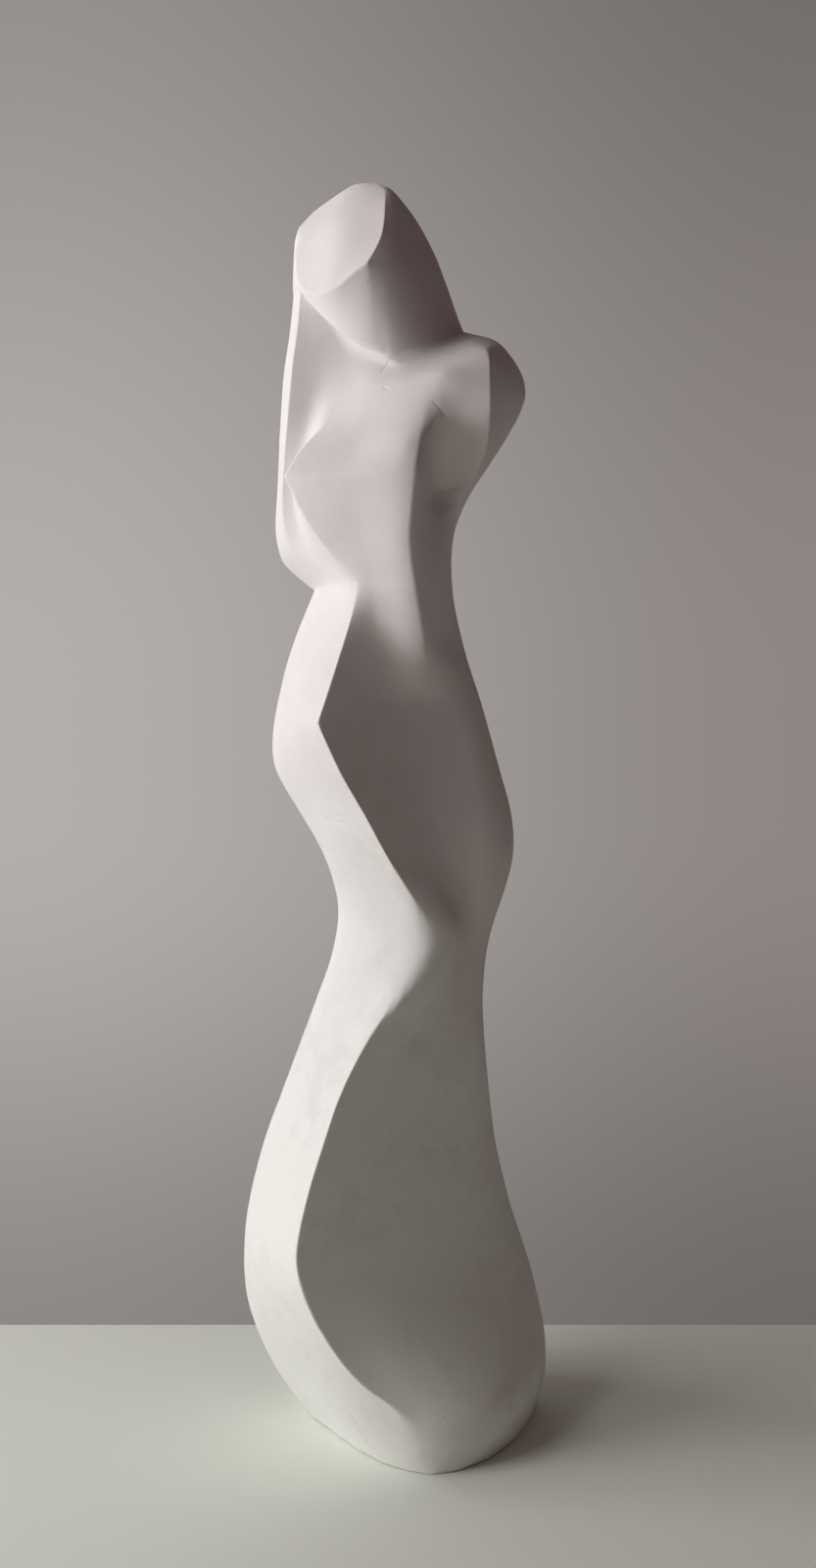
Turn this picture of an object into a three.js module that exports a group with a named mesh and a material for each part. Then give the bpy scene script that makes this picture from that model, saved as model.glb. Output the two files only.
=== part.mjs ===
// Standing female figure, one solid plaster casting.
//
// The form is lofted. Twelve lines run up the figure, most of them edges that the sculptor cut: the ridge that
// zigzags from toe to breast, the rim of the hair, the jaw and face edge, the flank. A section at any level passes
// through all twelve. It turns a corner where a line is crisp and runs on smoothly where a line is soft, so that
// the surface between two crisp lines is a plane cut.
//
// Frame: +Z up, -Y towards the viewer of the display side, origin at the middle of the flat underside.

import * as THREE from "three";

// Driving sizes, in millimetres.
const height = 635; // sole to crown
const breadth = 158; // outer left of the skirt to its right flank
const thickness = 121.3; // right breast to the broadest part of the back

// The lines below are drawn to this canon, as tall as its crown, and its sizes become the driving ones.
const canon = { breadth: 158, thickness: 121.3 };

// Levels of the body. From the collar up a section tilts, to run along the jaw and then along the face edge.
const sole = 0;
const soleRim = 5;
const toe = 29;
const shinEnd = 48;
const hip = 354;
const waist = 422;
const hairEnd = 426;
const breast = 472;
const chest = 500;
const shoulder = 520;
const collar = 530;
const underJaw = 540;
const jaw = 545;
const faceEdge = 575;
const brow = 600;
const hairline = 620;
const cap = 629;
const crown = 635;

// How many mesh rows lie between each two stations, and how each span of a section is sampled.
const rowSpans = [
  [sole, soleRim, 1],
  [soleRim, toe, 3],
  [toe, shinEnd, 3],
  [shinEnd, hip, 35],
  [hip, waist, 9],
  [waist, hairEnd, 1],
  [hairEnd, breast, 6],
  [breast, chest, 4],
  [chest, shoulder, 4],
  [shoulder, collar, 3],
  [collar, underJaw, 4],
  [underJaw, jaw, 2],
  [jaw, faceEdge, 6],
  [faceEdge, brow, 4],
  [brow, hairline, 4],
  [hairline, cap, 3],
  [cap, crown, 2],
];
const softShares = [0, 0.25, 0.5, 0.75];
const crispInset = 0.12; // a sample this close to a crisp line keeps its edge tight

// A line is a list of knots, joined by a smooth curve that turns sharply only at a corner knot.
// Where no height is given, the knot lies at its level.
function knot(level, x, y, z = level, sharp = false) {
  return { level, sharp, place: new THREE.Vector3(x, y, z) };
}

function corner(level, x, y, z = level) {
  return knot(level, x, y, z, true);
}

function line(knots) {
  return knots.map((entry) => (Array.isArray(entry) ? knot(...entry) : entry));
}

function slopeOf(knots, i, side) {
  const here = knots[i];
  const first = here.sharp && side > 0 ? i : Math.max(i - 1, 0);
  const last = here.sharp && side < 0 ? i : Math.min(i + 1, knots.length - 1);
  const rise = knots[last].place.clone().sub(knots[first].place);
  return rise.divideScalar(knots[last].level - knots[first].level);
}

function pointOn(knots, level) {
  if (level >= knots.at(-1).level) return knots.at(-1).place.clone();
  const i = knots.findIndex((_, k) => level < knots[k + 1].level);
  const span = knots[i + 1].level - knots[i].level;
  const startSlope = slopeOf(knots, i, 1).multiplyScalar(span);
  const endSlope = slopeOf(knots, i + 1, -1).multiplyScalar(span);
  return hermite(knots[i].place, startSlope, knots[i + 1].place, endSlope, (level - knots[i].level) / span);
}

function hermite(start, startSlope, end, endSlope, t) {
  return start
    .clone()
    .multiplyScalar((1 + 2 * t) * (1 - t) ** 2)
    .addScaledVector(startSlope, t * (1 - t) ** 2)
    .addScaledVector(end, t * t * (3 - 2 * t))
    .addScaledVector(endSlope, t * t * (t - 1));
}

// A knot between two lines: a share of the way across, standing proud of the chord or, below zero, hollowed.
function between(left, right, level, share, proud) {
  const start = pointOn(left, level);
  const chord = pointOn(right, level).sub(start);
  const outward = new THREE.Vector3(chord.y, -chord.x, 0).normalize();
  const place = start.addScaledVector(chord, share).addScaledVector(outward, proud);
  return { level, sharp: false, place };
}

// Outer left line: skirt, hip and waist, then the back edge of the hair up to the crown.
const outerLeft = line([
  [sole, -59, 13],
  [soleRim, -62.6, 12.5],
  [11, -68.2, 12],
  [23, -76.7, 13],
  [43, -86.4, 13],
  [60, -91.5, 13],
  [84, -93, 12],
  [107, -90.8, 12],
  [137, -83.7, 12],
  [168, -72.5, 12],
  [201, -60.3, 12],
  [231, -49.2, 12],
  [247, -45.1, 12],
  [265, -44.1, 12],
  [287, -50.7, 12],
  [309, -62.9, 12],
  [330, -75.6, 12],
  [340, -78.2, 12],
  [355, -77.6, 12],
  [374, -74, 12],
  [390, -70, 12],
  [406, -64.4, 12],
  corner(hairEnd, -56.4, 14),
  [434, -67, 17],
  [442, -74.2, 19],
  [451, -76.6, 20],
  [460, -77.5, 21],
  [480, -76, 22],
  [chest, -75.2, 23, 503],
  [shoulder, -73, 24, 537],
  [collar, -69.8, 24, 561],
  [underJaw, -68.5, 24, 576],
  [jaw, -68.2, 24, 581],
  [faceEdge, -67.8, 24, 589],
  [brow, -67.4, 25, 604],
  [hairline, -66, 24, 615],
  [cap, -57, 21, 626],
  [crown, -40, 13, 634],
]);

// Ridge: toe, shin, knee, hip and waist, up the left breast and over the neck, then across jaw and face.
const ridge = line([
  [sole, -4, -47],
  [14, -3, -52],
  [toe, -8, -54],
  [shinEnd, -32, -56],
  [73, -50, -56],
  [87, -56.5, -55],
  [102, -60.5, -53],
  [128, -56, -49],
  [151, -49, -45],
  [180, -38.8, -41],
  [210, -22, -35],
  [225, -9, -30.5],
  [238, 0, -27.5],
  [252, 3, -26.5],
  [269, -4.5, -31],
  [290, -17.5, -37.5],
  [310, -28, -42],
  [330, -39.5, -46],
  corner(hip, -50.3, -50),
  [369, -45.5, -46],
  [385, -41, -40],
  [400, -36.7, -36],
  [waist, -32.5, -31.5],
  [431, -40, -31],
  [442, -49.2, -31.5],
  [457, -59.8, -32.5],
  corner(breast, -67.7, -31.5, 474.7),
  [490, -59, -28],
  [chest, -49.5, -24.5],
  [510, -42, -23],
  [shoulder, -39, -21, 523],
  [collar, -38.5, -18.5, 538],
  corner(underJaw, -42, -16, 551.5),
  corner(jaw, -42.2, -22, 548.4),
  corner(faceEdge, -43.5, -32, 565.2),
  [brow, -42, -22.5, 588.5],
  [hairline, -42, -9, 612],
  [cap, -38.5, 1, 627.5],
  [crown, -33, 5, 633.5],
]);

// Flank: right side of skirt, hip and waist, upper arm and shoulder, then the far side of the head.
const flank = line([
  [sole, 59, 24],
  [6, 61, 23],
  [16, 63.8, 24],
  [35, 64.6, 25],
  [53, 61.5, 26],
  [79, 54.6, 25],
  [103, 46.5, 23],
  [135, 38.8, 20],
  [167, 34.3, 14],
  [201, 31.3, 9],
  [218, 30.8, 8],
  [232, 31.9, 8],
  [247, 34.2, 9],
  [266, 40.6, 10],
  [287, 46.6, 10],
  [309, 46.2, 11],
  [330, 40.7, 11],
  [356, 33.4, 10],
  [373, 28.4, 9],
  [390, 22.8, 9],
  [406, 18.8, 8],
  [hairEnd, 14.8, 8],
  [450, 14.9, 9],
  [470, 20.8, 9],
  [487, 31.4, 10],
  [chest, 47, 12, 511],
  [shoulder, 52.8, 12, 532],
  [collar, 42, 11, 548.5],
  [535, 33.5, 9, 554.8],
  corner(underJaw, 20, 6, 558),
  corner(jaw, 19.7, 6, 558.5),
  [faceEdge, 12, 6, 583],
  [brow, 4.8, 6, 600.8],
  [hairline, -5.8, 6, 618],
  [cap, -15.8, 8, 629.4],
  [crown, -22, 8, 634],
]);

const onFacet = (level, share, proud) => between(ridge, flank, level, share, proud);
const onLeftBand = (level, share, proud) => between(outerLeft, ridge, level, share, proud);

// Middle line: shin facet, left side of the belly, chest, then jaw tip and the right edge of the face.
const middle = line([
  [sole, 4, -48.5],
  [14, 9, -51.5],
  [toe, 13, -50],
  onFacet(65, 0.3, 8),
  onFacet(98, 0.28, 4),
  onFacet(150, 0.26, 1.5),
  onFacet(200, 0.28, 0.5),
  onFacet(225, 0.32, 4),
  onFacet(252, 0.3, 4.5),
  onFacet(270, 0.24, 0.5),
  onFacet(290, 0.2, -1.5),
  onFacet(310, 0.22, -1.5),
  onFacet(330, 0.27, -2),
  onFacet(352, 0.34, -2.5),
  [369, -17, -21.5],
  [385, -17.5, -25.5],
  [400, -21, -31],
  [412, -23.5, -34],
  [waist, -23, -35],
  [440, -29.6, -39.5],
  corner(breast, -38.5, -46),
  [chest, -27, -38, 497],
  [shoulder, -22.6, -32, 518.7],
  [collar, -23.7, -25.5, 530],
  corner(underJaw, -24.7, -25, 536.4),
  corner(jaw, -24.7, -28.5, 537.4),
  corner(faceEdge, -27.5, -38.5, 574.8),
  [brow, -20.5, -31, 591.5],
  [hairline, -19, -18, 613],
  [cap, -20, -6, 626],
  [crown, -26, 2, 632.5],
]);

// Breast line: skirt, valley beside the knee, right side of belly and breast, upper chest, cheek.
const breastLine = line([
  [sole, 27, -38],
  [14, 31, -41],
  [toe, 34, -40],
  onFacet(65, 0.52, 10),
  onFacet(98, 0.52, 6),
  onFacet(150, 0.5, 3.5),
  onFacet(200, 0.5, 1.5),
  onFacet(225, 0.5, 2),
  onFacet(252, 0.52, 0.5),
  onFacet(270, 0.44, -2),
  onFacet(290, 0.42, -2.5),
  onFacet(310, 0.45, -2.5),
  onFacet(330, 0.5, -2),
  onFacet(352, 0.56, -1.5),
  [369, -1, -13],
  [385, 0.5, -23],
  [400, -0.6, -34],
  [waist, -4.6, -42],
  [440, -7, -48.8],
  corner(breast, -3.5, -58, 471.3),
  [487, -1.5, -53.2],
  [chest, -1, -49, 495],
  [shoulder, -6, -40.5, 517],
  [collar, -10, -32, 526],
  [underJaw, -14.8, -30.2, 531.5],
  [jaw, -15.2, -29.3, 535],
  [faceEdge, -17.5, -34, 575],
  [brow, -14.5, -26, 592],
  [hairline, -15.6, -15, 614],
  [cap, -18.5, -4, 627.3],
  [crown, -25, 3.5, 633],
]);

// Armpit line: skirt, hip, flank, then the hollow beside the breast and the valley from neck to shoulder.
const armpit = line([
  [sole, 43, -20],
  [14, 48, -21],
  [toe, 51, -19],
  onFacet(65, 0.75, 9),
  onFacet(98, 0.75, 6),
  onFacet(150, 0.74, 4),
  onFacet(200, 0.72, 3),
  onFacet(225, 0.65, 1),
  onFacet(252, 0.66, -0.5),
  onFacet(270, 0.62, -1.5),
  onFacet(290, 0.62, -1),
  onFacet(310, 0.64, -0.2),
  onFacet(330, 0.69, 0.5),
  onFacet(352, 0.75, 1),
  [370, 13, -6],
  [385, 10.5, -11.5],
  [400, 7, -17.5],
  [waist, 5.2, -29],
  [440, 4.5, -32],
  [457, 6.5, -22],
  [466, 9, -12],
  [473, 9, -12],
  [480, 8.5, -23],
  [487, 8.8, -34.5],
  [494, 9.2, -41.5],
  [502, 9.3, -45.5],
  [shoulder, 9, -44.5],
  [collar, 8, -34.5, 528],
  [underJaw, 0.8, -26.8, 536.4],
  [jaw, -1.8, -25, 542],
  [faceEdge, -7, -26, 574.6],
  [brow, -7.5, -17, 593.5],
  [hairline, -11.4, -9, 615],
  [cap, -17, -1, 628.2],
  [crown, -24, 5, 633.4],
]);

// Arm line: skirt, hip, back of the waist, then the crisp front edge of the upper arm.
const arm = line([
  [sole, 53, 0],
  [14, 58.5, 1],
  [toe, 61, 3],
  onFacet(65, 0.92, 6),
  onFacet(98, 0.92, 4),
  onFacet(150, 0.9, 3),
  onFacet(200, 0.88, 3),
  onFacet(225, 0.85, 1.5),
  onFacet(252, 0.77, 0.5),
  onFacet(270, 0.78, 2),
  onFacet(290, 0.8, 2.5),
  onFacet(310, 0.82, 2.8),
  onFacet(330, 0.86, 3),
  onFacet(352, 0.89, 2.5),
  [370, 20.6, -1],
  [385, 16.5, -3],
  [400, 13, -4],
  [waist, 11.3, -11],
  [440, 11.3, -13.5],
  [460, 16, -10, 463],
  [475, 25.8, -21, 478],
  [487, 30.6, -31, 488.5],
  [chest, 31.5, -42, 498.9],
  [shoulder, 31.4, -45, 518.2],
  [collar, 30, -32, 536.9],
  [underJaw, 13.5, -13, 546.2],
  [jaw, 10.8, -11, 551],
  [faceEdge, 3, -11.5, 577],
  [brow, 0, -6, 596.2],
  [hairline, -7.5, -2, 616.3],
  [cap, -15.6, 3, 629.2],
  [crown, -23, 6.5, 633.8],
]);

// Hair rim: follows the left band of the body, then the front rim of the hair and the left edge of the face.
const hairRim = line([
  onLeftBand(sole, 0.33, 5),
  onLeftBand(26, 0.3, 5),
  onLeftBand(60, 0.3, 3),
  onLeftBand(98, 0.33, 2),
  onLeftBand(180, 0.33, 2),
  onLeftBand(250, 0.33, 6),
  onLeftBand(310, 0.33, 2),
  onLeftBand(hip, 0.33, 2),
  onLeftBand(406, 0.33, 2),
  [hairEnd, -53, 1],
  [434, -61, 2],
  [444, -68.5, 2],
  [460, -71.5, 0],
  [480, -71, -5],
  [chest, -68, -11, 510],
  [shoulder, -65.5, -14.5, 534],
  [collar, -63, -13, 553],
  [underJaw, -61.8, -9.5, 571],
  corner(jaw, -62, -8, 573.5),
  [faceEdge, -63.6, -6, 580],
  [brow, -65, 2, 596],
  corner(hairline, -64, 9, 613),
  [cap, -54, 13, 625],
  [crown, -38, 10, 634],
]);

// Hair hollow: left band, the side of the body behind the left breast, the recessed front of the hair, the face.
const hairHollow = line([
  onLeftBand(sole, 0.8, 6),
  onLeftBand(26, 0.75, 10),
  onLeftBand(39, 0.72, 6),
  onLeftBand(65, 0.68, 2),
  onLeftBand(98, 0.67, 1),
  onLeftBand(180, 0.67, 1),
  onLeftBand(250, 0.7, 6),
  onLeftBand(310, 0.67, 1),
  onLeftBand(hip, 0.67, 1),
  onLeftBand(406, 0.67, 1),
  [hairEnd, -45, -12],
  [440, -56.5, -8],
  [457, -63, -4],
  [472, -66.5, -4],
  [487, -62, -9],
  [chest, -55.5, -12.5, 511],
  [shoulder, -49, -16.5, 528],
  [collar, -49.5, -15.5, 550],
  corner(underJaw, -58, -11.5, 568.3),
  corner(jaw, -57.6, -12, 566.8),
  corner(faceEdge, -57.5, -17, 568.5),
  [brow, -56, -8, 591],
  [hairline, -54, 1.5, 613],
  [cap, -47, 8, 627],
  [crown, -36, 7.5, 634],
]);

// How far the back stands behind the line from flank to outer left, level by level.
const backReach = [
  [sole, 32],
  [40, 42],
  [90, 44],
  [170, 36],
  [235, 29],
  [290, 36],
  [330, 40],
  [385, 30],
  [430, 25],
  [480, 27],
  [shoulder, 32],
  [faceEdge, 27],
  [brow, 23],
  [hairline, 14],
  [cap, 6],
  [crown, 1],
];

function backLine(share, fullness) {
  return backReach.map(([level, reach]) => between(flank, outerLeft, level, share, reach * fullness));
}

// The lines in order round the figure, with how crisp each one is at some levels: 1 is an edge, 0 is a soft turn.
const lines = [
  { knots: outerLeft, crisp: [[sole, 0], [430, 0.2], [480, 0.4], [brow, 0.4], [crown, 0]] },
  { knots: hairRim, crisp: [[sole, 0], [430, 0], [460, 0.7], [480, 1], [hairline, 1], [crown, 0.3]] },
  { knots: hairHollow, crisp: [[sole, 0.2], [40, 0], [crown, 0]] },
  {
    knots: ridge,
    crisp: [[sole, 0], [14, 0], [32, 0.8], [46, 1], [190, 1], [214, 0], [262, 0], [287, 1], [402, 1], [waist, 0.3], [440, 0.8], [495, 1], [520, 0]],
  },
  { knots: middle, crisp: [[sole, 0], [jaw, 0], [557, 0.1], [faceEdge, 0.5], [588, 1], [hairline, 1], [crown, 0.3]] },
  { knots: breastLine, crisp: [[sole, 0], [400, 0.1], [455, 0.2], [breast, 0]] },
  { knots: armpit, crisp: [[sole, 0], [crown, 0]] },
  { knots: arm, crisp: [[sole, 0], [462, 0], [482, 0.7], [chest, 1], [524, 1], [536, 0]] },
  { knots: flank, crisp: [[sole, 0], [480, 0], [shoulder, 0.2], [collar, 0]] },
  { knots: backLine(0.17, 0.72), crisp: [[sole, 0], [crown, 0]] },
  { knots: backLine(0.5, 1), crisp: [[sole, 0], [crown, 0]] },
  { knots: backLine(0.83, 0.72), crisp: [[sole, 0], [crown, 0]] },
];

function crispAt(marks, level) {
  if (level >= marks.at(-1)[0]) return marks.at(-1)[1];
  const i = marks.findIndex((_, k) => level < marks[k + 1][0]);
  const [low, high] = [marks[i], marks[i + 1]];
  return THREE.MathUtils.lerp(low[1], high[1], (level - low[0]) / (high[0] - low[0]));
}

// Slope of a section at a line, for the span whose chord is given: along the chord where the line is crisp.
function turnAt(before, here, after, chord) {
  const back = here.place.clone().sub(before.place);
  const ahead = after.place.clone().sub(here.place);
  const backLength = back.length() + 1e-6;
  const aheadLength = ahead.length() + 1e-6;
  const smooth = back.multiplyScalar(aheadLength / backLength).addScaledVector(ahead, backLength / aheadLength);
  smooth.multiplyScalar(chord.length() / (backLength + aheadLength));
  return smooth.lerp(chord, here.crisp);
}

// Moves the sample next to a crisp line close to it.
function tighten(share, crispStart, crispEnd) {
  if (share === softShares[1]) return THREE.MathUtils.lerp(share, crispInset, crispStart);
  if (share === softShares[3]) return THREE.MathUtils.lerp(share, 1 - crispInset, crispEnd);
  return share;
}

function section(level) {
  const stops = lines.map(({ knots, crisp }) => ({ place: pointOn(knots, level), crisp: crispAt(crisp, level) }));
  const at = (i) => stops[(i + stops.length) % stops.length];
  return stops.flatMap((here, i) => {
    const next = at(i + 1);
    const chord = next.place.clone().sub(here.place);
    const start = turnAt(at(i - 1), here, next, chord);
    const end = turnAt(here, next, at(i + 2), chord);
    return softShares.map((share) =>
      hermite(here.place, start, next.place, end, tighten(share, here.crisp, next.crisp)),
    );
  });
}

function sectionLevels() {
  const levels = rowSpans.flatMap(([low, high, rows]) =>
    Array.from({ length: rows }, (_, i) => THREE.MathUtils.lerp(low, high, i / rows)),
  );
  return [...levels, crown];
}

function centreOf(ring, z) {
  const centre = ring.reduce((sum, place) => sum.add(place), new THREE.Vector3()).divideScalar(ring.length);
  return centre.setZ(z);
}

function figureGeometry() {
  const rings = sectionLevels().map(section);
  const around = rings[0].length;
  const places = [...rings.flat(), centreOf(rings[0], 0), centreOf(rings.at(-1), crown)];
  const [underside, apex] = [places.length - 2, places.length - 1];
  const topRow = (rings.length - 1) * around;
  const faces = [];
  for (let i = 0; i < around; i += 1) {
    const next = (i + 1) % around;
    faces.push(underside, next, i, apex, topRow + i, topRow + next);
    for (let row = 0; row < topRow; row += around) {
      const [a, b, c, d] = [row + i, row + next, row + around + next, row + around + i];
      if (places[a].distanceTo(places[c]) < places[b].distanceTo(places[d])) faces.push(a, b, c, a, c, d);
      else faces.push(a, b, d, b, c, d);
    }
  }
  const geometry = new THREE.BufferGeometry().setFromPoints(places);
  geometry.setIndex(faces);
  geometry.scale(breadth / canon.breadth, thickness / canon.thickness, height / crown);
  return geometry;
}

const plaster = new THREE.MeshStandardMaterial({ color: 0xe9e6e2, roughness: 0.85, metalness: 0 });

const figure = new THREE.Mesh(figureGeometry(), plaster);
figure.name = "figure";

const sculpture = new THREE.Group();
sculpture.add(figure);

export default sculpture;
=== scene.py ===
"""Looks of a standing plaster figure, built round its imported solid.

The figure is one casting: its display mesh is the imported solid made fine, with the cut edges kept tight, then
worked over by hand as plaster is. Everything is in metres, in the frame of the solid.
"""

import logging
import math
from dataclasses import dataclass, field
from enum import Enum

import bmesh
import bpy
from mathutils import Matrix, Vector
from mathutils.bvhtree import BVHTree

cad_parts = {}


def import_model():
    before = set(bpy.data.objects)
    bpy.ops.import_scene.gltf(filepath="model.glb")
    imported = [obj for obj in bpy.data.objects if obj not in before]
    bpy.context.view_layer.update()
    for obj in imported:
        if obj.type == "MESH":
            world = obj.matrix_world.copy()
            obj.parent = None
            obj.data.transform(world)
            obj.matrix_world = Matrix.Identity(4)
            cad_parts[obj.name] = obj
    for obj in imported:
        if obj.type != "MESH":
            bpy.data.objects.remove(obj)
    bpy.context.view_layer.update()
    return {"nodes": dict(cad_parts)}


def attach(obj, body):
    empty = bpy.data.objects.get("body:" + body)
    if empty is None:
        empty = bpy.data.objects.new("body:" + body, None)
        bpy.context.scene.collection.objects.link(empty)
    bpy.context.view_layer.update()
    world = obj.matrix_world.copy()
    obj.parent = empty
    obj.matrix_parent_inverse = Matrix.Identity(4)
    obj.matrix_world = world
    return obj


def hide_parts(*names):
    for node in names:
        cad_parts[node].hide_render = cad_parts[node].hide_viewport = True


LOG = logging.getLogger("figure")
MM = 0.001
Colour = tuple[float, float, float]

# The place that the display side is seen from, in metres: level, close, half way up the figure.
VIEWPOINT = (-0.00775, -0.6485, 0.3254)


class MarkKind(Enum):
    """What a mark in the plaster is."""

    STROKE = "stroke"
    KNOCK = "knock"


# Materials


@dataclass(frozen=True)
class SandedPlaster:
    """Cast plaster, sanded by hand, with faint clouds, streaks and pores."""

    name: str = "sanded_plaster"
    # Painted tint of the light: lighter and greener towards the foot, where light bounces up from the floor,
    # and pinker towards the head.
    foot_painted_light_tint: Colour = (0.825, 0.835, 0.795)
    foot_level: float = 80 * MM
    head_painted_light_tint: Colour = (0.795, 0.757, 0.757)
    head_level: float = 400 * MM
    cloud: Colour = (0.75, 0.72, 0.70)
    cloud_size: float = 60 * MM
    mottle_size: float = 11 * MM
    mottle_share: float = 0.4
    streak_width: float = 7 * MM
    streak_share: float = 0.2
    chalk: Colour = (0.88, 0.86, 0.85)
    # A dust colour: real dust in the specks, and painted shade where it darkens the hollows.
    dust_and_hollow_shade: Colour = (0.64, 0.60, 0.58)
    hollow_shade_share: float = 0.4
    speck_size: float = 1.6 * MM
    speck_share: float = 0.35
    gloss: float = 0.3
    roughness: float = 0.82
    rubbed_size: float = 35 * MM
    rubbed_range: float = 0.16
    grain_size: float = 0.9 * MM
    grain_depth: float = 0.10 * MM
    sanding_width: float = 1.2 * MM
    rasping_width: float = 1.5 * MM
    line_depth: float = 0.16 * MM
    pore_spacing: float = 4.5 * MM
    pore_depth: float = 0.30 * MM

    def build(self) -> bpy.types.Material:
        """Makes the material.

        Returns:
            The node material, all on object coordinates and the mesh's own edge attribute.
        """
        material = bpy.data.materials.new(self.name)
        material.use_nodes = True
        graph = Graph(material.node_tree)
        shader = graph.find("BSDF_PRINCIPLED")
        shader.inputs["Specular IOR Level"].default_value = self.gloss
        place = graph.add("ShaderNodeTexCoord").outputs["Object"]
        graph.link(self._colour(graph, place), shader.inputs["Base Color"])
        graph.link(self._roughness(graph, place), shader.inputs["Roughness"])
        graph.link(self._bump(graph, place), shader.inputs["Normal"])
        return material

    def _colour(self, graph: "Graph", place: bpy.types.NodeSocket) -> bpy.types.NodeSocket:
        """Mixes clouds, streaks, chalky edges and specks of dust, with painted shade that darkens the hollows
        and a painted tint of light that is greener low and pinker high.

        Args:
            graph: The tree to add nodes to.
            place: Object coordinates.

        Returns:
            The colour socket.
        """
        clouds = graph.noise(place, 1 / self.cloud_size, detail=5, roughness=0.6)
        mottle = graph.noise(place, 1 / self.mottle_size, detail=4, roughness=0.65)
        both = graph.math(
            "ADD",
            graph.math("MULTIPLY", clouds, 1 - self.mottle_share),
            graph.math("MULTIPLY", mottle, self.mottle_share),
        )
        level = graph.axes(place)["Z"]
        # Painted tint of the light, from the lighter, greener foot colour up to the pinker head colour.
        painted_light_tint = graph.mix(graph.ramp(level, self.foot_level, self.head_level), self.foot_painted_light_tint, self.head_painted_light_tint)
        cloudy = graph.mix(graph.ramp(both, 0.46, 0.70), painted_light_tint, self.cloud)
        upright = graph.stretch(place, (1, 1, 0.09))
        streaks = graph.ramp(graph.noise(upright, 1 / self.streak_width, detail=3, roughness=0.5), 0.56, 0.74)
        streaked = graph.mix(graph.math("MULTIPLY", streaks, self.streak_share), cloudy, self.cloud)
        edge = graph.attribute(EdgeWearAndHollowShade.name)
        rubbed = graph.mix(graph.ramp(edge, 0.56, 0.9), streaked, self.chalk)
        # Painted shade: the hollows are darkened towards the dust colour, as the shade that falls in them.
        hollow = graph.math("MULTIPLY", graph.ramp(edge, 0.44, 0.1), self.hollow_shade_share)
        hollow_shaded = graph.mix(hollow, rubbed, self.dust_and_hollow_shade)
        specks = graph.ramp(graph.noise(place, 1 / self.speck_size, detail=2, roughness=0.5), 0.66, 0.78)
        return graph.mix(graph.math("MULTIPLY", specks, self.speck_share), hollow_shaded, self.dust_and_hollow_shade)

    def _roughness(self, graph: "Graph", place: bpy.types.NodeSocket) -> bpy.types.NodeSocket:
        """Where fingers have rubbed the plaster it is a little smoother.

        Args:
            graph: The tree to add nodes to.
            place: Object coordinates.

        Returns:
            The roughness socket.
        """
        patches = graph.noise(place, 1 / self.rubbed_size, detail=3, roughness=0.5)
        return graph.math("MULTIPLY_ADD", patches, self.rubbed_range, self.roughness - self.rubbed_range / 2)

    def _bump(self, graph: "Graph", place: bpy.types.NodeSocket) -> bpy.types.NodeSocket:
        """Grain, sanding lines and pores.

        Args:
            graph: The tree to add nodes to.
            place: Object coordinates.

        Returns:
            The normal socket.
        """
        grain = graph.noise(place, 1 / self.grain_size, detail=4, roughness=0.7)
        over = graph.stretch(graph.turn(place, (0.5, 0.3, 0.6)), (1, 0.06, 1))
        sanding = graph.noise(over, 1 / self.sanding_width, detail=2, roughness=0.5)
        down = graph.stretch(graph.turn(place, (-0.2, 0.1, -0.4)), (1, 1, 0.05))
        rasping = graph.noise(down, 1 / self.rasping_width, detail=2, roughness=0.5)
        lines = graph.math("ADD", graph.math("MULTIPLY", sanding, 0.5), graph.math("MULTIPLY", rasping, 0.5))
        pores = graph.pores(place, self.pore_spacing, radius=0.13, share=0.22)
        grained = graph.bump(grain, 0.35, self.grain_depth, None)
        lined = graph.bump(lines, 0.30, self.line_depth, grained)
        return graph.bump(pores, 0.8, self.pore_depth, lined)


@dataclass(frozen=True)
class Matte:
    """A plain matte finish for the floor."""

    name: str
    colour: Colour
    roughness: float = 0.9
    unevenness: float = 0.03

    def build(self) -> bpy.types.Material:
        """Makes the plain material.

        Returns:
            The node material, a very little uneven on object coordinates.
        """
        material = bpy.data.materials.new(self.name)
        material.use_nodes = True
        graph = Graph(material.node_tree)
        shader = graph.find("BSDF_PRINCIPLED")
        place = graph.add("ShaderNodeTexCoord").outputs["Object"]
        shade = graph.noise(place, 2.0, detail=2, roughness=0.5)
        darker = tuple((1 - self.unevenness) * part for part in self.colour)
        graph.link(graph.mix(shade, self.colour, darker), shader.inputs["Base Color"])
        shader.inputs["Roughness"].default_value = self.roughness
        return material


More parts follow.
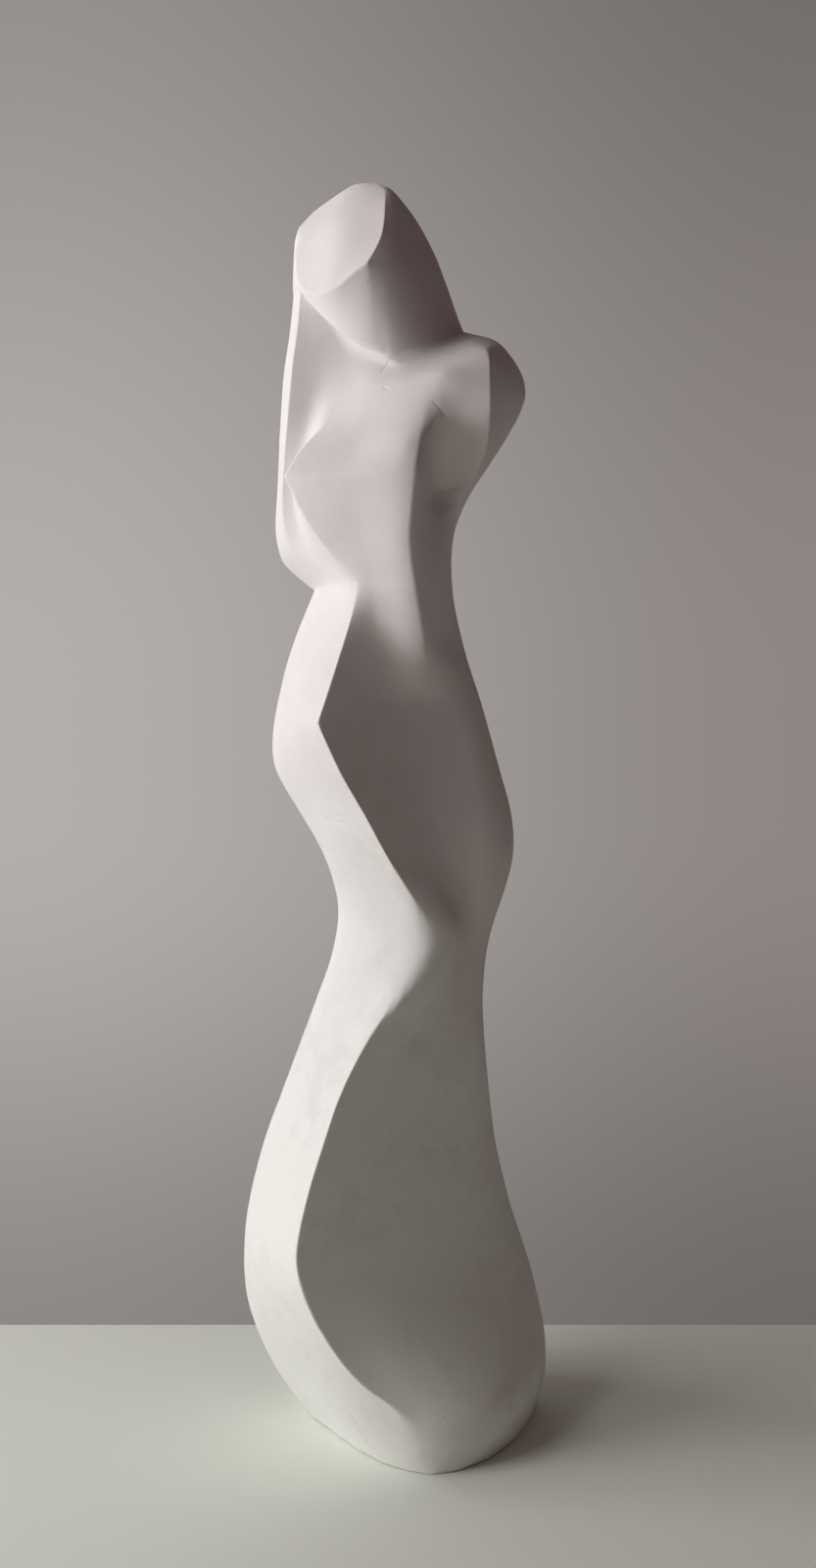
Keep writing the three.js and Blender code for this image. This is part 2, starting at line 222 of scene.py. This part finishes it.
@dataclass(frozen=True)
class PaintedLightGlow:
    """A backdrop that glows, though it is no lamp, with painted window light: lighter on the window side and
    half way up, darker to the right.

    The painted light is laid out once, as directions from one fixed place, so that the bend of the sweep
    doesn't show.
    It is fixed to the sweep and stays as it is in every view.
    """

    name: str
    # Painted window light: the lit colour on the left and the shaded colour on the right.
    left: Colour
    right: Colour
    centre: tuple[float, float, float] = VIEWPOINT
    spread: float = 0.32
    # The painted light falls off below and above half way up.
    below: tuple[float, float] = (-0.02, -0.46)
    fall_below: float = 0.42
    above: tuple[float, float] = (0.08, 0.75)
    fall_above: float = 0.38

    def build(self) -> bpy.types.Material:
        """Makes the backdrop's material.

        Returns:
            The node material, glowing with painted light shaded from left to right on object coordinates.
        """
        material = bpy.data.materials.new(self.name)
        material.use_nodes = True
        graph = Graph(material.node_tree)
        graph.tree.nodes.remove(graph.find("BSDF_PRINCIPLED"))
        place = graph.axes(graph.add("ShaderNodeTexCoord").outputs["Object"])
        away = graph.math("SUBTRACT", place["Y"], self.centre[1])
        across = graph.math("DIVIDE", graph.math("SUBTRACT", place["X"], self.centre[0]), away)
        rise = graph.math("DIVIDE", graph.math("SUBTRACT", place["Z"], self.centre[2]), away)
        below = graph.math("MULTIPLY", graph.ramp(rise, *self.below), self.fall_below)
        above = graph.math("MULTIPLY", graph.ramp(rise, *self.above), self.fall_above)
        # The sweep glows, though it is no lamp, with this painted window light.
        light = graph.add("ShaderNodeEmission")
        painted_light_across = graph.ramp(across, -self.spread, self.spread)
        graph.link(graph.mix(painted_light_across, self.left, self.right), light.inputs["Color"])
        strength = graph.math("SUBTRACT", 1.0, graph.math("ADD", below, above))
        graph.link(strength, light.inputs["Strength"])
        graph.link(light.outputs[0], graph.find("OUTPUT_MATERIAL").inputs["Surface"])
        return material


class Graph:
    """A node tree with short calls for the nodes that the finishes use."""

    def __init__(self, tree: bpy.types.NodeTree) -> None:
        """Holds the tree.

        Args:
            tree: The node tree to add to.
        """
        self.tree = tree

    def add(self, kind: str) -> bpy.types.Node:
        """Adds a node of a kind."""
        return self.tree.nodes.new(kind)

    def find(self, kind: str) -> bpy.types.Node:
        """Finds the tree's first node of a type."""
        return next(node for node in self.tree.nodes if node.type == kind)

    def link(self, source: bpy.types.NodeSocket, target: bpy.types.NodeSocket) -> None:
        """Links two sockets."""
        self.tree.links.new(source, target)

    def axes(self, place: bpy.types.NodeSocket) -> bpy.types.bpy_prop_collection:
        """Takes coordinates apart into sockets named X, Y and Z."""
        node = self.add("ShaderNodeSeparateXYZ")
        self.link(place, node.inputs[0])
        return node.outputs

    def put(self, value: object, target: bpy.types.NodeSocket) -> None:
        """Links a socket, or sets a number or colour on the target itself.

        Args:
            value: A socket, a number, or a colour of three parts.
            target: The input to fill.
        """
        if isinstance(value, bpy.types.NodeSocket):
            self.link(value, target)
        elif isinstance(value, tuple) and target.type == "RGBA":
            target.default_value = (*value, 1)
        else:
            target.default_value = value

    def noise(
        self, place: bpy.types.NodeSocket, scale: float, detail: float, roughness: float
    ) -> bpy.types.NodeSocket:
        """Adds a noise texture.

        Args:
            place: Coordinates.
            scale: Cells for each metre.
            detail: Octaves.
            roughness: Weight of the fine octaves.

        Returns:
            The value from 0 to 1.
        """
        node = self.add("ShaderNodeTexNoise")
        self.put(place, node.inputs["Vector"])
        self.put(scale, node.inputs["Scale"])
        self.put(detail, node.inputs["Detail"])
        self.put(roughness, node.inputs["Roughness"])
        return node.outputs["Fac"]

    def math(self, operation: str, *values: object) -> bpy.types.NodeSocket:
        """Adds a sum on numbers.

        Args:
            operation: The operation's name.
            values: Sockets or numbers, in order.

        Returns:
            The result.
        """
        node = self.add("ShaderNodeMath")
        node.operation = operation
        for value, target in zip(values, node.inputs):
            self.put(value, target)
        return node.outputs[0]

    def ramp(self, value: bpy.types.NodeSocket, low: float, high: float) -> bpy.types.NodeSocket:
        """Turns a value into a share from 0 at low to 1 at high, smoothly.

        Args:
            value: The value to read.
            low: Where the share is 0.
            high: Where the share is 1.

        Returns:
            The share.
        """
        node = self.add("ShaderNodeMapRange")
        node.interpolation_type = "SMOOTHSTEP"
        self.put(value, node.inputs["Value"])
        rising = low < high
        self.put(min(low, high), node.inputs["From Min"])
        self.put(max(low, high), node.inputs["From Max"])
        self.put(0.0 if rising else 1.0, node.inputs["To Min"])
        self.put(1.0 if rising else 0.0, node.inputs["To Max"])
        return node.outputs["Result"]

    def mix(self, share: object, first: object, second: object) -> bpy.types.NodeSocket:
        """Mixes two colours.

        Args:
            share: Share of the second, a socket or a number.
            first: A colour or socket.
            second: A colour or socket.

        Returns:
            The mixed colour.
        """
        node = self.add("ShaderNodeMix")
        node.data_type = "RGBA"
        self.put(share, node.inputs["Factor"])
        colours = [socket for socket in node.inputs if socket.type == "RGBA"]
        self.put(first, colours[0])
        self.put(second, colours[1])
        return next(socket for socket in node.outputs if socket.type == "RGBA")

    def stretch(self, place: bpy.types.NodeSocket, scale: tuple[float, float, float]) -> bpy.types.NodeSocket:
        """Scales coordinates, so that a pattern is drawn out along an axis."""
        return self._mapped(place, "Scale", scale)

    def turn(self, place: bpy.types.NodeSocket, angles: tuple[float, float, float]) -> bpy.types.NodeSocket:
        """Turns coordinates by angles in radians."""
        return self._mapped(place, "Rotation", angles)

    def _mapped(
        self, place: bpy.types.NodeSocket, change: str, values: tuple[float, float, float]
    ) -> bpy.types.NodeSocket:
        """Adds one mapping of coordinates.

        Args:
            place: Coordinates.
            change: The mapping's input to set.
            values: What to set it to.

        Returns:
            The mapped coordinates.
        """
        node = self.add("ShaderNodeMapping")
        self.put(place, node.inputs["Vector"])
        node.inputs[change].default_value = values
        return node.outputs["Vector"]

    def attribute(self, name: str) -> bpy.types.NodeSocket:
        """Reads a mesh attribute as a number."""
        node = self.add("ShaderNodeAttribute")
        node.attribute_name = name
        return node.outputs["Fac"]

    def pores(
        self, place: bpy.types.NodeSocket, spacing: float, radius: float, share: float
    ) -> bpy.types.NodeSocket:
        """Small round pits at the middles of some cells.

        Args:
            place: Coordinates.
            spacing: Size of a cell.
            radius: A pit's radius as a share of a cell.
            share: Share of cells with a pit.

        Returns:
            A height from 0, in a pit, to 1.
        """
        cells = self.add("ShaderNodeTexVoronoi")
        self.put(place, cells.inputs["Vector"])
        self.put(1 / spacing, cells.inputs["Scale"])
        depth = self.ramp(cells.outputs["Distance"], radius, radius * 0.35)
        chosen = self.math("LESS_THAN", self._red(cells.outputs["Color"]), share)
        return self.math("SUBTRACT", 1.0, self.math("MULTIPLY", depth, chosen))

    def _red(self, colour: bpy.types.NodeSocket) -> bpy.types.NodeSocket:
        """Takes the red part of a colour."""
        node = self.add("ShaderNodeSeparateColor")
        self.link(colour, node.inputs[0])
        return node.outputs[0]

    def bump(
        self, height: bpy.types.NodeSocket, strength: float, distance: float, under: object
    ) -> bpy.types.NodeSocket:
        """Adds bump on a normal.

        Args:
            height: Height from 0 to 1.
            strength: How strong it is.
            distance: Depth of the whole range.
            under: The normal below it, or None.

        Returns:
            The normal.
        """
        node = self.add("ShaderNodeBump")
        node.inputs["Strength"].default_value = strength
        node.inputs["Distance"].default_value = distance
        self.link(height, node.inputs["Height"])
        if under is not None:
            self.link(under, node.inputs["Normal"])
        return node.outputs["Normal"]


# The casting


@dataclass
class HandFinish:
    """The unevenness that rasp and sandpaper leave, as a Geometry Nodes tree over the casting."""

    sway: float = 0.35 * MM
    sway_size: float = 42 * MM
    flats: float = 0.22 * MM
    flat_size: float = 15 * MM
    rasp: float = 0.085 * MM
    rasp_size: float = 4 * MM
    sole_kept: float = 0.5 * MM
    sole_faded: float = 12 * MM
    seed: int = 7

    def apply(self, figure: bpy.types.Object, finish: bpy.types.Material) -> None:
        """Works the surface over and turns the result into a plain mesh.

        Args:
            figure: The casting, changed in place.
            finish: The material that the tree sets.
        """
        modifier = figure.modifiers.new("hand finish", "NODES")
        modifier.node_group = self._tree()
        values = {
            "Finish": finish,
            "Sway": self.sway,
            "Sway size": self.sway_size,
            "Flats": self.flats,
            "Flat size": self.flat_size,
            "Rasp": self.rasp,
            "Rasp size": self.rasp_size,
            "Seed": float(self.seed),
        }
        for item in modifier.node_group.interface.items_tree:
            if item.item_type == "SOCKET" and item.in_out == "INPUT" and item.name in values:
                modifier[item.identifier] = values[item.name]
        seen = figure.evaluated_get(bpy.context.evaluated_depsgraph_get())
        worked = bpy.data.meshes.new_from_object(seen)
        figure.modifiers.remove(modifier)
        figure.data = worked

    def _tree(self) -> bpy.types.NodeTree:
        """Builds the tree.

        Returns:
            The node group, from the casting's mesh to the worked mesh.
        """
        tree = bpy.data.node_groups.new("hand_finish", "GeometryNodeTree")
        tree.is_modifier = True
        face = tree.interface
        face.new_socket("Geometry", in_out="INPUT", socket_type="NodeSocketGeometry")
        face.new_socket("Finish", in_out="INPUT", socket_type="NodeSocketMaterial")
        for name in ("Sway", "Sway size", "Flats", "Flat size", "Rasp", "Rasp size", "Seed"):
            face.new_socket(name, in_out="INPUT", socket_type="NodeSocketFloat")
        face.new_socket("Geometry", in_out="OUTPUT", socket_type="NodeSocketGeometry")
        graph = Graph(tree)
        given = graph.add("NodeGroupInput").outputs
        place = graph.add("GeometryNodeInputPosition").outputs[0]
        sway = self._field(graph, place, given, "Sway", detail=1.0)
        flats = self._field(graph, place, given, "Flat", detail=0.0)
        rasp = self._field(graph, place, given, "Rasp", detail=3.0)
        height = graph.math("ADD", graph.math("ADD", sway, flats), rasp)
        lift = self._clear_of_sole(graph, place)
        offset = graph.add("ShaderNodeVectorMath")
        offset.operation = "SCALE"
        graph.link(graph.add("GeometryNodeInputNormal").outputs[0], offset.inputs[0])
        graph.link(graph.math("MULTIPLY", height, lift), offset.inputs["Scale"])
        moved = graph.add("GeometryNodeSetPosition")
        graph.link(given["Geometry"], moved.inputs["Geometry"])
        graph.link(offset.outputs[0], moved.inputs["Offset"])
        real = graph.add("GeometryNodeRealizeInstances")
        graph.link(moved.outputs[0], real.inputs[0])
        dressed = graph.add("GeometryNodeSetMaterial")
        graph.link(real.outputs[0], dressed.inputs["Geometry"])
        graph.link(given["Finish"], dressed.inputs["Material"])
        graph.link(dressed.outputs[0], graph.add("NodeGroupOutput").inputs[0])
        return tree

    def _field(
        self,
        graph: Graph,
        place: bpy.types.NodeSocket,
        given: bpy.types.bpy_prop_collection,
        name: str,
        detail: float,
    ) -> bpy.types.NodeSocket:
        """One scale of unevenness.

        Args:
            graph: The tree to add to.
            place: Positions.
            given: The tree's named inputs.
            name: First word of the two inputs that it reads.
            detail: Octaves.

        Returns:
            The height in metres, about zero on the whole.
        """
        amount = given["Flats"] if name == "Flat" else given[name]
        noise = graph.add("ShaderNodeTexNoise")
        noise.noise_dimensions = "4D"
        graph.link(place, noise.inputs["Vector"])
        graph.link(given["Seed"], noise.inputs["W"])
        graph.link(graph.math("DIVIDE", 1.0, given[f"{name} size"]), noise.inputs["Scale"])
        graph.put(detail, noise.inputs["Detail"])
        centred = graph.math("MULTIPLY_ADD", noise.outputs[0], 2.0, -1.0)
        return graph.math("MULTIPLY", centred, amount)

    def _clear_of_sole(self, graph: Graph, place: bpy.types.NodeSocket) -> bpy.types.NodeSocket:
        """A share that is 0 on the flat underside and 1 a little way up, so that the figure stands flat.

        Args:
            graph: The tree to add to.
            place: Positions.

        Returns:
            The share.
        """
        return graph.ramp(graph.axes(place)["Z"], self.sole_kept, self.sole_faded)


@dataclass(frozen=True)
class Mark:
    """One mark in the surface, on the display side, drawn through points across and up."""

    path: tuple[tuple[float, float], ...]
    width: float
    depth: float

    @property
    def kind(self) -> MarkKind:
        """A knock has one point, and a stroke has more."""
        return MarkKind.KNOCK if len(self.path) == 1 else MarkKind.STROKE


@dataclass
class Casting:
    """The whole figure: one solid casting, rounded where the hand has worn its edges."""

    node: str = "figure"
    weld: float = 0.002 * MM
    flat_enough: float = math.radians(40)
    any_shape: float = math.radians(180)
    crease_from: float = math.radians(24)
    crease_full: float = math.radians(75)
    crease_least: float = 0.35
    levels: int = 2
    plaster: SandedPlaster = field(default_factory=SandedPlaster)
    hand: HandFinish = field(default_factory=HandFinish)
    marks: tuple[Mark, ...] = ()

    def build(self, nodes: dict[str, bpy.types.Object]) -> bpy.types.Object:
        """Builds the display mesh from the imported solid.

        Args:
            nodes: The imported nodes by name.

        Returns:
            The new object, at the origin and unscaled.
        """
        mesh = self._cage(nodes[self.node].data)
        figure = bpy.data.objects.new("figure_casting", mesh)
        bpy.context.scene.collection.objects.link(figure)
        rounding = figure.modifiers.new("rounding", "SUBSURF")
        rounding.levels = self.levels
        rounding.render_levels = self.levels
        seen = figure.evaluated_get(bpy.context.evaluated_depsgraph_get())
        figure.data = bpy.data.meshes.new_from_object(seen)
        figure.modifiers.remove(rounding)
        LOG.info("figure_casting: %d faces after rounding", len(figure.data.polygons))
        return figure

    def dress(self, figure: bpy.types.Object) -> None:
        """Args:
            figure: The casting from build().
        """
        finish = self.plaster.build()
        for mark in self.marks:
            Chisel(figure.data).cut(mark)
        figure.data.materials.clear()
        figure.data.materials.append(finish)
        self.hand.apply(figure, finish)
        for face in figure.data.polygons:
            face.use_smooth = True
        EdgeWearAndHollowShade().write(figure.data)
        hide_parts(self.node)
        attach(figure, "root")

    def _cage(self, packed: bpy.types.Mesh) -> bpy.types.Mesh:
        """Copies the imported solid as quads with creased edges.

        Args:
            packed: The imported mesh, which stays as it is.

        Returns:
            The cage to round.
        """
        work = bmesh.new()
        work.from_mesh(packed)
        bmesh.ops.remove_doubles(work, verts=work.verts, dist=self.weld)
        bmesh.ops.join_triangles(
            work,
            faces=work.faces,
            angle_face_threshold=self.flat_enough,
            angle_shape_threshold=self.any_shape,
        )
        crease = work.edges.layers.float.new("crease_edge")
        for edge in work.edges:
            if len(edge.link_faces) != 2:
                continue
            angle = edge.calc_face_angle(0.0)
            if angle > self.crease_from:
                share = (angle - self.crease_from) / (self.crease_full - self.crease_from)
                edge[crease] = min(1.0, self.crease_least + (1 - self.crease_least) * share)
        for face in work.faces:
            face.smooth = True
        mesh = bpy.data.meshes.new("figure_casting")
        work.to_mesh(mesh)
        work.free()
        return mesh


@dataclass
class Chisel:
    """Cuts marks into a fine mesh, which it first makes finer round each mark.

    The refined reach and the finest edge are shares of a mark's width.
    """

    mesh: bpy.types.Mesh
    refinings: int = 2
    refined_reach: float = 1.5
    finest_edge: float = 1 / 3
    longest_edge: float = 3 * MM

    def cut(self, mark: Mark) -> None:
        """Cuts one mark.

        Args:
            mark: The mark, seen from the display side.
        """
        work = bmesh.new()
        work.from_mesh(self.mesh)
        path = self._on_surface(work, mark)
        for _ in range(self.refinings):
            near = self._long_edges(work, path, mark.width)
            if near:
                bmesh.ops.subdivide_edges(work, edges=near, cuts=1, use_grid_fill=True, smooth=0.0)
        bmesh.ops.triangulate(work, faces=[face for face in work.faces if len(face.verts) > 4])
        work.normal_update()
        moves = []
        for vert in self._around(work, path, mark.width):
            away = self._distance(vert.co, path) / mark.width
            if away < 1:
                share = (1 - away * away) ** 2
                moves.append((vert, vert.normal * (-mark.depth * share)))
        for vert, move in moves:
            vert.co += move
        work.to_mesh(self.mesh)
        work.free()

    def _long_edges(
        self, work: bmesh.types.BMesh, path: list[Vector], width: float
    ) -> list[bmesh.types.BMEdge]:
        """Finds the edges near a path that are too long to carry the mark.

        Args:
            work: The mesh.
            path: The path's points.
            width: The mark's width.

        Returns:
            The edges, each once, in a fixed order.
        """
        near = (edge for vert in self._around(work, path, width * 2) for edge in vert.link_edges)
        return [
            edge
            for edge in dict.fromkeys(near)
            if edge.calc_length() > width * self.finest_edge
            and self._distance(sum((vert.co for vert in edge.verts), Vector()) / 2, path)
            < width * self.refined_reach
        ]

    @staticmethod
    def _on_surface(work: bmesh.types.BMesh, mark: Mark) -> list[Vector]:
        """Finds the mark's points on the display side.

        Args:
            work: The mesh.
            mark: The mark.

        Returns:
            The points.
        """
        tree = BVHTree.FromBMesh(work)
        found = []
        for across, up in mark.path:
            hit = tree.ray_cast(Vector((across, -1, up)), Vector((0, 1, 0)))[0]
            if hit is not None:
                found.append(hit)
        return found

    def _around(
        self, work: bmesh.types.BMesh, path: list[Vector], reach: float
    ) -> list[bmesh.types.BMVert]:
        """Finds the points of the mesh in the box round a path.

        Args:
            work: The mesh.
            path: The path's points.
            reach: How far the box goes beyond the path, to which the longest edge is added.

        Returns:
            The points.
        """
        margin = reach + self.longest_edge
        low = [min(point[axis] for point in path) - margin for axis in range(3)]
        high = [max(point[axis] for point in path) + margin for axis in range(3)]
        return [
            vert
            for vert in work.verts
            if low[2] < vert.co.z < high[2] and low[0] < vert.co.x < high[0] and low[1] < vert.co.y < high[1]
        ]

    @staticmethod
    def _distance(point: Vector, path: list[Vector]) -> float:
        """Distance from a point to a path.

        Args:
            point: The point.
            path: The path's points, in order.

        Returns:
            The distance.
        """
        if len(path) == 1:
            return (point - path[0]).length
        least = math.inf
        for start, end in zip(path, path[1:]):
            run = end - start
            share = max(0.0, min(1.0, (point - start).dot(run) / run.length_squared))
            least = min(least, (point - start - run * share).length)
        return least


@dataclass
class EdgeWearAndHollowShade:
    """Writes how far each point stands proud of the surface round it, for rubbed edges and for the painted
    shade in the hollows.

    Half the full bend, a curvature for each metre, counts as wholly an edge or a hollow.
    """

    name: str = "edge"
    flat: float = 0.5
    full_bend: float = 900.0
    least_area: float = 1e-12
    rounds: int = 6

    def write(self, mesh: bpy.types.Mesh) -> None:
        """Writes the attribute: more than the value for flat is an edge, and less is a hollow.

        Args:
            mesh: The mesh to mark.
        """
        work = bmesh.new()
        work.from_mesh(mesh)
        work.verts.ensure_lookup_table()
        proud = []
        for vert in work.verts:
            ring = [edge.other_vert(vert).co for edge in vert.link_edges]
            middle = sum(ring, Vector()) / len(ring)
            reach = sum((co - vert.co).length for co in ring) / len(ring)
            proud.append((vert.co - middle).dot(vert.normal) / (reach * reach + self.least_area))
        neighbours = [[edge.other_vert(vert).index for edge in vert.link_edges] for vert in work.verts]
        for _ in range(self.rounds):
            proud = [
                0.5 * value + 0.5 * sum(proud[i] for i in around) / len(around)
                for value, around in zip(proud, neighbours)
            ]
        work.free()
        shares = [max(0.0, min(1.0, self.flat + value / self.full_bend)) for value in proud]
        mesh.attributes.new(self.name, "FLOAT", "POINT").data.foreach_set("value", shares)


# Marks that show on the display side, as points across and up, width and depth, all in millimetres.
MARKS = (
    (((-49.5, 307.5), (-43.5, 306.6), (-38.2, 306.2)), 0.7, 0.25),
    (((-44.8, 310.1), (-38.2, 309.2)), 0.6, 0.2),
    (((-30.7, 296.8), (-25.4, 291.6), (-20.1, 286.3)), 0.7, 0.25),
    (((-29.2, 302.0), (-23.3, 296.1)), 0.6, 0.2),
    (((-20.5, 526.5), (-17.2, 530.8)), 1.0, 0.25),
    (((-19.4, 516.2), (-17.5, 515.6)), 0.9, 0.25),
    (((-32.7, 203.2),), 1.3, 0.4),
    (((-55.5, 31.8),), 1.0, 0.3),
    (((4.8, 505.9), (10.2, 500.3)), 1.4, 0.15),
    (((-42.9, 37.1), (-36.3, 26.9), (-28.4, 13.8), (-24.7, 7.3)), 1.0, 0.2),
)


def marks() -> tuple[Mark, ...]:
    """The figure's marks, in metres."""
    return tuple(
        Mark(tuple((across * MM, up * MM) for across, up in path), width * MM, depth * MM)
        for path, width, depth in MARKS
    )


# Floor, backdrop, light and camera


@dataclass
class Studio:
    """A plain pale floor with a grey sweep behind it, which glows with painted window light. Neither is part of
    the figure.
    """

    depth_behind: float = 0.118
    depth_before: float = 1.6
    half_width: float = 2.2
    floor_colour: Colour = (0.825, 0.865, 0.785)
    sweep_drop: float = 0.5 * MM
    sweep_depth: float = 1.7
    sweep_height: float = 2.6
    bend: float = 0.25
    bend_middle: tuple[float, float] = (0.18, 0.07)
    # Painted window light on the sweep: lit on the left, in shade on the right.
    sweep_painted_lit: Colour = (0.450, 0.428, 0.412)
    sweep_painted_shade: Colour = (0.270, 0.242, 0.230)

    def build(self) -> None:
        floor = self._sheet(
            "floor",
            [(self.depth_behind, 0.0), (-self.depth_before, 0.0)],
            Matte("floor_finish", self.floor_colour),
        )
        start = self.sweep_depth - self.bend
        across, up = self.bend_middle
        sweep = self._sheet(
            "sweep",
            [
                (self.depth_behind, -self.sweep_drop),
                (start, -self.sweep_drop),
                (start + across, up),
                (self.sweep_depth, self.bend),
                (self.sweep_depth, self.sweep_height),
            ],
            PaintedLightGlow("sweep_painted_light", self.sweep_painted_lit, self.sweep_painted_shade),
        )

    def _sheet(
        self, name: str, profile: list[tuple[float, float]], finish: Matte | PaintedLightGlow
    ) -> bpy.types.Object:
        """Draws a profile of depth and height out to both sides.

        Args:
            name: The object's name.
            profile: Points of depth and height.
            finish: Its finish.

        Returns:
            The sheet.
        """
        points = [(side * self.half_width, y, z) for y, z in profile for side in (-1, 1)]
        faces = [(2 * i, 2 * i + 1, 2 * i + 3, 2 * i + 2) for i in range(len(profile) - 1)]
        mesh = bpy.data.meshes.new(name)
        mesh.from_pydata(points, [], faces)
        mesh.materials.append(finish.build())
        sheet = bpy.data.objects.new(name, mesh)
        bpy.context.scene.collection.objects.link(sheet)
        return sheet


@dataclass(frozen=True)
class SoftBox:
    """A square area light, placed by direction and aimed at the figure's middle."""

    name: str
    left_of_view: float
    elevation: float
    power: float
    colour: Colour
    aim_height: float = 0.3
    size: float = 0.5
    distance: float = 1.3

    def build(self) -> None:
        """Adds the light, at its distance from the point that it is aimed at."""
        light = bpy.data.lights.new(self.name, "AREA")
        light.shape = "SQUARE"
        light.size = self.size
        light.energy = self.power
        light.color = self.colour
        turn, rise = math.radians(self.left_of_view), math.radians(self.elevation)
        away = Vector((-math.sin(turn) * math.cos(rise), -math.cos(turn) * math.cos(rise), math.sin(rise)))
        lamp = bpy.data.objects.new(self.name, light)
        lamp.location = Vector((0, 0, self.aim_height)) + away * self.distance
        lamp.rotation_euler = away.to_track_quat("Z", "Y").to_euler()
        bpy.context.scene.collection.objects.link(lamp)


@dataclass
class Camera:
    """The camera at the photograph's place: level, close, half way up the figure."""

    place: tuple[float, float, float] = VIEWPOINT
    lens: float = 29.25
    sensor: float = 36.0
    nearest: float = 0.01
    farthest: float = 50.0

    def build(self) -> None:
        """Adds the camera and makes it the scene's own."""
        data = bpy.data.cameras.new("camera")
        data.sensor_width = self.sensor
        data.lens = self.lens
        data.clip_start = self.nearest
        data.clip_end = self.farthest
        camera = bpy.data.objects.new("camera", data)
        camera.location = self.place
        camera.rotation_euler = (math.radians(90), 0, 0)
        bpy.context.scene.collection.objects.link(camera)
        bpy.context.scene.camera = camera


@dataclass(frozen=True)
class Room:
    """The faint warm light that comes from every side."""

    colour: Colour = (1.0, 0.66, 0.64)
    strength: float = 0.07

    def build(self) -> None:
        """Adds the light and shows colours as they are."""
        world = bpy.data.worlds.new("room")
        world.use_nodes = True
        background = Graph(world.node_tree).find("BACKGROUND")
        background.inputs["Color"].default_value = (*self.colour, 1)
        background.inputs["Strength"].default_value = self.strength
        bpy.context.scene.world = world
        bpy.context.scene.view_settings.view_transform = "Standard"


def light_scene() -> None:
    """Lights the figure as a window on its left does, with a little light from every side."""
    for light in (
        SoftBox("window_low", 70, 5, 7.3, (1.0, 0.975, 1.0), aim_height=0.2),
        SoftBox("window_high", 60, 35, 3.2, (1.0, 1.0, 0.95)),
        SoftBox("window_side", 90, 40, 4.8, (1.0, 0.97, 1.0)),
        SoftBox("window_top", 110, 62, 0.8, (1.0, 0.9, 0.8)),
        Room(),
    ):
        light.build()


def main() -> None:
    """Builds the scene and reports each piece."""
    logging.basicConfig(level=logging.INFO, format="%(name)s: %(message)s")
    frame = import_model()
    Camera().build()
    Studio().build()
    light_scene()
    casting = Casting(marks=marks())
    figure = casting.build(frame["nodes"])
    casting.dress(figure)
    for kind in MarkKind:
        count = sum(mark.kind is kind for mark in casting.marks)
        LOG.info("%s: %d marks of kind %s", figure.name, count, kind.value)
    LOG.info("%s: %d faces, finished", figure.name, len(figure.data.polygons))


if __name__ == "__main__":
    main()
